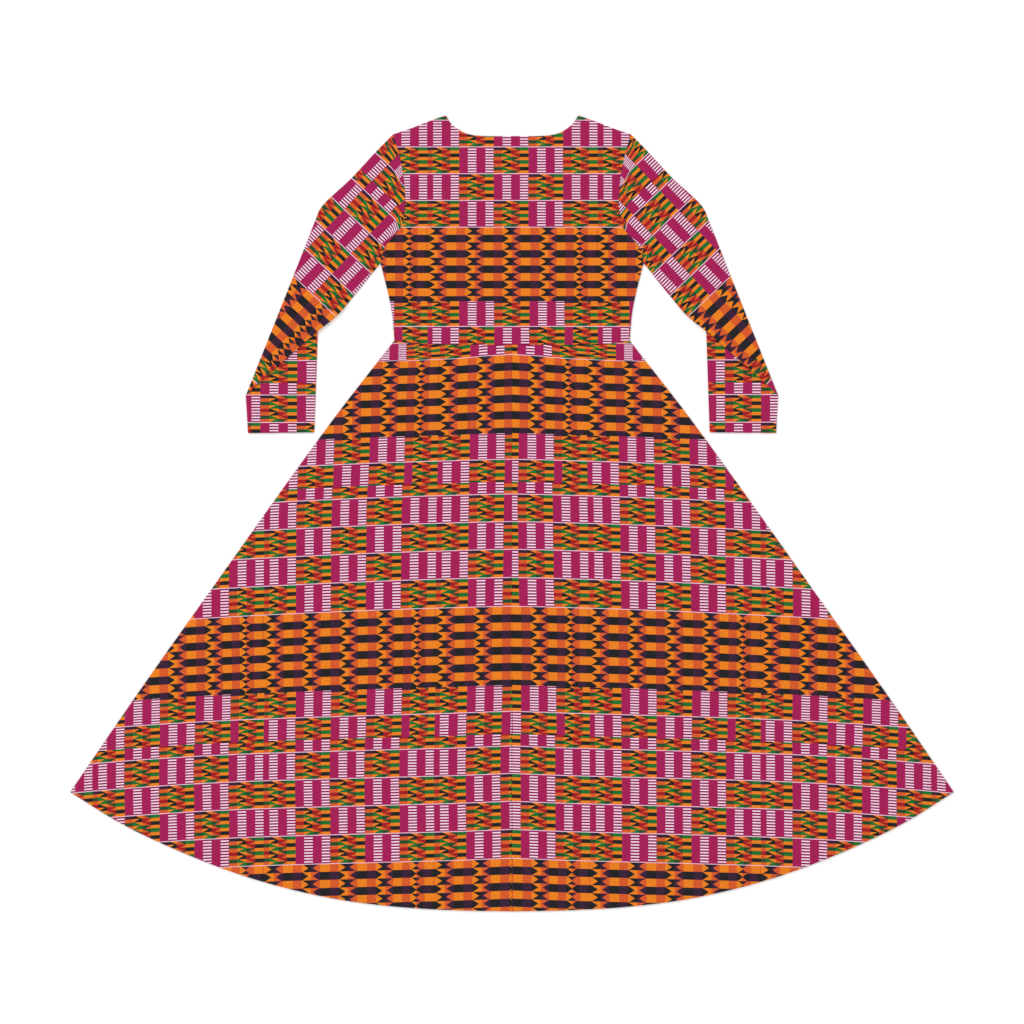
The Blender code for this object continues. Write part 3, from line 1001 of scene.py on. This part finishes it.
def print_ink(cloth_u, cloth_v):
    """The number of the ink at each place on the cloth, in millimetres across and down."""
    u = (cloth_u / TILE_WIDTH).part() * TILE_WIDTH
    v = (cloth_v / TILE_HEIGHT).part() * TILE_HEIGHT
    after_band = v > BAND_END
    row_place = after_band.choose(v - LAST_ROWS_START, v + FIRST_ROW_CUT) / ROW_HEIGHT
    last_place = (u + LAST_ROWS_CUT) / LAST_BLOCK_WIDTH
    block_place = after_band.choose(last_place, (u + FIRST_BLOCK_CUT) / BLOCK_WIDTH)
    row = row_place.floor()
    block = block_place.floor()
    across = block_place.part()
    down = row_place.part()
    ladders = (block + row).odd()
    woven_too = (v > SHORT_ROW_END) * (block > LAST_CHEQUERED_BLOCK) * (across > STRIP_ENDS[0])
    ladders = ladders * woven_too.invert()
    cut_short = v.within(BAND_END, CUT_STRIPE_END)
    short_row = v.within(BAND_END, SHORT_ROW_END)
    ladder = ladder_block(across, down, short_row)
    ink = choice(ladders, ladder, woven_block(across, down, cut_short))
    ink = choice(v.within(BAND_START, BAND_END), tie_band(u, v), ink)
    near_line = abs((row_place + 0.5).part() - 0.5) < LINE_HEIGHT / 2 / ROW_HEIGHT
    outside_band = (v < BAND_START + LINE_HEIGHT / 2).either(after_band)
    return choice(near_line * outside_band, "pale line", ink)


# The jersey's loops, and how unevenly the print takes on them
LOOP_WIDTH = 1.1
LOOP_LENGTH = 0.85
LOOP_SLANT = 0.8
LOOP_ROUNDING = 0.6
LOOP_RELIEF = 0.00012
BUMP_STRENGTH = 0.35
FADING = 0.10
FADING_SIZE = 45.0
FADING_DETAIL = 2.0
SPECKLE = 0.9
SPECKLE_SIZE = 420.0
SPECKLE_DETAIL = 1.0
ROUGHEST = 0.92
SMOOTHEST = 0.80
SPECULAR = 0.2
SHEEN = 0.05
SHEEN_ROUGHNESS = 0.6

# The reverse shows the cloth's white yarn, with a little of the print through it
YARN = (238, 228, 226)
YARN_SHARE = 0.72


def noise(tree, place, scale, detail):
    """Soft random values from 0 to 1 over the cloth."""
    node = tree.nodes.new("ShaderNodeTexNoise")
    node.inputs["Scale"].default_value = scale
    node.inputs["Detail"].default_value = detail
    tree.links.new(place, node.inputs["Vector"])
    return Signal(tree, node.outputs["Fac"])


def palette_ramp(tree, ink):
    """The colour of each ink number."""
    node = tree.nodes.new("ShaderNodeValToRGB")
    ramp = node.color_ramp
    ramp.interpolation = "CONSTANT"
    colours = [screen_colour(colour) for colour in PALETTE.values()]
    ramp.elements[0].color = colours[0]
    ramp.elements[1].position = 1 / len(colours)
    ramp.elements[1].color = colours[1]
    for number, colour in enumerate(colours[2:], start=2):
        ramp.elements.new(number / len(colours)).color = colour
    place = (ink + 0.5) / len(colours)
    tree.links.new(place.socket, node.inputs["Fac"])
    return node.outputs["Color"]


def loops(u, v):
    """The height of the jersey's knitted loops, from 0 to 1, in columns of small slanted stitches."""
    column = abs((u / LOOP_WIDTH).part() - 0.5) * 2
    slant = (v / LOOP_LENGTH + column * LOOP_SLANT).part() - 0.5
    return (abs(slant) * 2).invert() * (column * LOOP_ROUNDING).invert()


def jersey(name, reverse=False):
    """Printed stretch jersey, on its outside or its reverse."""
    material = bpy.data.materials.new(name)
    material.use_nodes = True
    tree = material.node_tree
    link = tree.links.new
    shader = tree.nodes["Principled BSDF"]
    place = tree.nodes.new("ShaderNodeUVMap")
    place.uv_map = "print"
    split = tree.nodes.new("ShaderNodeSeparateXYZ")
    link(place.outputs["UV"], split.inputs["Vector"])
    u = Signal(tree, split.outputs["X"]) / MILLIMETRE
    v = Signal(tree, split.outputs["Y"]) / MILLIMETRE
    colour = palette_ramp(tree, print_ink(u, v))
    broad = noise(tree, place.outputs["UV"], FADING_SIZE, FADING_DETAIL)
    fine = noise(tree, place.outputs["UV"], SPECKLE_SIZE, SPECKLE_DETAIL)
    strength = (broad - 0.5) * FADING + (fine - 0.5) * SPECKLE + 1.0
    scaled = tree.nodes.new("ShaderNodeVectorMath")
    scaled.operation = "SCALE"
    link(colour, scaled.inputs[0])
    link(strength.socket, scaled.inputs["Scale"])
    colour = scaled.outputs["Vector"]
    if reverse:
        mix = tree.nodes.new("ShaderNodeMix")
        mix.data_type = "RGBA"
        mix.inputs["Factor"].default_value = YARN_SHARE
        link(colour, mix.inputs["A"])
        mix.inputs["B"].default_value = screen_colour(YARN)
        colour = mix.outputs["Result"]
    link(colour, shader.inputs["Base Color"])
    roughness = broad * (ROUGHEST - SMOOTHEST) + SMOOTHEST
    link(roughness.socket, shader.inputs["Roughness"])
    bump = tree.nodes.new("ShaderNodeBump")
    bump.inputs["Strength"].default_value = BUMP_STRENGTH
    bump.inputs["Distance"].default_value = LOOP_RELIEF
    link(loops(u, v).socket, bump.inputs["Height"])
    link(bump.outputs["Normal"], shader.inputs["Normal"])
    shader.inputs["Specular IOR Level"].default_value = SPECULAR
    shader.inputs["Sheen Weight"].default_value = SHEEN
    shader.inputs["Sheen Roughness"].default_value = SHEEN_ROUGHNESS
    return material


FLOOR_COLOUR = (0.97, 0.97, 0.97, 1.0)
FLOOR_HALF = 30.0
FLOOR_DROP = 0.0003


def floor_material():
    """A plain pale floor."""
    material = bpy.data.materials.new("pale_floor")
    material.use_nodes = True
    shader = material.node_tree.nodes["Principled BSDF"]
    shader.inputs["Base Color"].default_value = FLOOR_COLOUR
    shader.inputs["Roughness"].default_value = 1.0
    shader.inputs["Specular IOR Level"].default_value = 0.0
    return material


def add_floor():
    """The surface that the dress lies on."""
    mesh = bpy.data.meshes.new("floor")
    signs = [(-1, -1), (1, -1), (1, 1), (-1, 1)]
    corners = [(x * FLOOR_HALF, y * FLOOR_HALF, -FLOOR_DROP) for x, y in signs]
    mesh.from_pydata(corners, [], [(0, 1, 2, 3)])
    mesh.materials.append(floor_material())
    ground = bpy.data.objects.new("floor", mesh)
    bpy.context.collection.objects.link(ground)


# The photograph is square on, from far above: this much of the floor fills its frame
FRAME_WIDTH = 1.7408
FRAME_MIDDLE = 0.0024
LENS = 200.0
SENSOR = 36.0
CLIP_END = 100.0


def add_camera():
    """A long lens straight above the dress, with the shoulders at the top of the frame."""
    camera = bpy.data.cameras.new("camera")
    camera.lens = LENS
    camera.sensor_width = SENSOR
    camera.clip_end = CLIP_END
    holder = bpy.data.objects.new("camera", camera)
    holder.location = (0.0, FRAME_MIDDLE, FRAME_WIDTH * LENS / SENSOR)
    bpy.context.collection.objects.link(holder)
    bpy.context.scene.camera = holder


def add_light(name, place, size, power):
    """A square soft box that points at the middle of the dress."""
    light = bpy.data.lights.new(name, "AREA")
    light.shape = "SQUARE"
    light.size = size
    light.energy = power
    holder = bpy.data.objects.new(name, light)
    holder.location = place
    holder.rotation_euler = (-Vector(place)).to_track_quat("-Z", "Y").to_euler()
    bpy.context.collection.objects.link(holder)


SKY_STRENGTH = 0.945
SOFT_BOX_PLACE = (-5.3, 6.2, 8.2)
SOFT_BOX_SIZE = 6.0
SOFT_BOX_POWER = 400.0


def add_studio():
    """Even white light from all round, and one soft box to give the folds a little shade."""
    world = bpy.data.worlds.new("studio")
    world.use_nodes = True
    background = world.node_tree.nodes["Background"]
    background.inputs["Color"].default_value = (1.0, 1.0, 1.0, 1.0)
    background.inputs["Strength"].default_value = SKY_STRENGTH
    bpy.context.scene.world = world
    bpy.context.scene.view_settings.view_transform = "Standard"
    add_light("soft_box", SOFT_BOX_PLACE, SOFT_BOX_SIZE, SOFT_BOX_POWER)


def dress(cloth):
    """Every piece of the dress, each in place of its plain solid."""
    bodice = half_bodice(FRONT_NECK)
    skirt = half_skirt(FRONT_SKIRT_DROPS, 0.0)
    pieces = {
        "front_bodice": front_panel("front_bodice_jersey", bodice, front_bodice_print, cloth),
        "front_skirt": front_panel("front_skirt_jersey", skirt, front_skirt_print, cloth),
        "back_bodice": back_bodice("back_bodice_jersey", bodice_print, cloth),
        "back_skirt_left": back_skirt("back_skirt_left_jersey", -1, left_skirt_print, cloth),
        "back_skirt_right": back_skirt("back_skirt_right_jersey", 1, right_skirt_print, cloth),
        "sleeve_left": sleeve("sleeve_left_jersey", -1, left_arm_print, left_forearm_print, cloth),
        "sleeve_right": sleeve("sleeve_right_jersey", 1, right_arm_print, right_forearm_print, cloth),
    }
    for node, piece in pieces.items():
        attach(piece, BODY)
        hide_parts(node)
    return pieces


def sewing(pieces, thread):
    """The rows of stitches at the neck, cuffs and hem, each with the piece that it is on."""
    hem = [shifted(sample(HEM, PANEL_STEPS), depth)[:-1] for depth in STITCH_ROWS]
    neck = [shifted(sample(BACK_NECK, NECK_STEPS), -depth)[:-1] for depth in STITCH_ROWS]
    neck = [np.concatenate([row[:0:-1] * [-1, 1], row]) for row in neck]
    cuff = np.linspace(CUFF_OUTER, CUFF_INNER, CUFF_STITCH_MARKS)[1:-1]
    cuff = [cuff - [0, depth] for depth in STITCH_ROWS]
    rows = {
        "back_bodice": ("neck_stitches", neck, 1, bodice_print),
        "back_skirt_left": ("hem_stitches_left", hem, -1, left_skirt_print),
        "back_skirt_right": ("hem_stitches_right", hem, 1, right_skirt_print),
        "sleeve_left": ("cuff_stitches_left", cuff, -1, left_forearm_print),
        "sleeve_right": ("cuff_stitches_right", cuff, 1, right_forearm_print),
    }
    sewn = {}
    for node, (name, curves, side, print_map) in rows.items():
        sewn[node] = stitches(name, pieces[node], curves, side, print_map, thread)
        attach(sewn[node], BODY)
    return sewn


# Each piece's cut: width and length of the cloth that it takes, its area, and what it lies on
Cut = namedtuple("Cut", "width length area rests_on")


add_camera()
add_studio()
add_floor()
printed = jersey("printed_jersey")
faded = jersey("jersey_reverse", reverse=True)
dress_pieces = dress([printed, faded])
dress_stitches = sewing(dress_pieces, [printed])
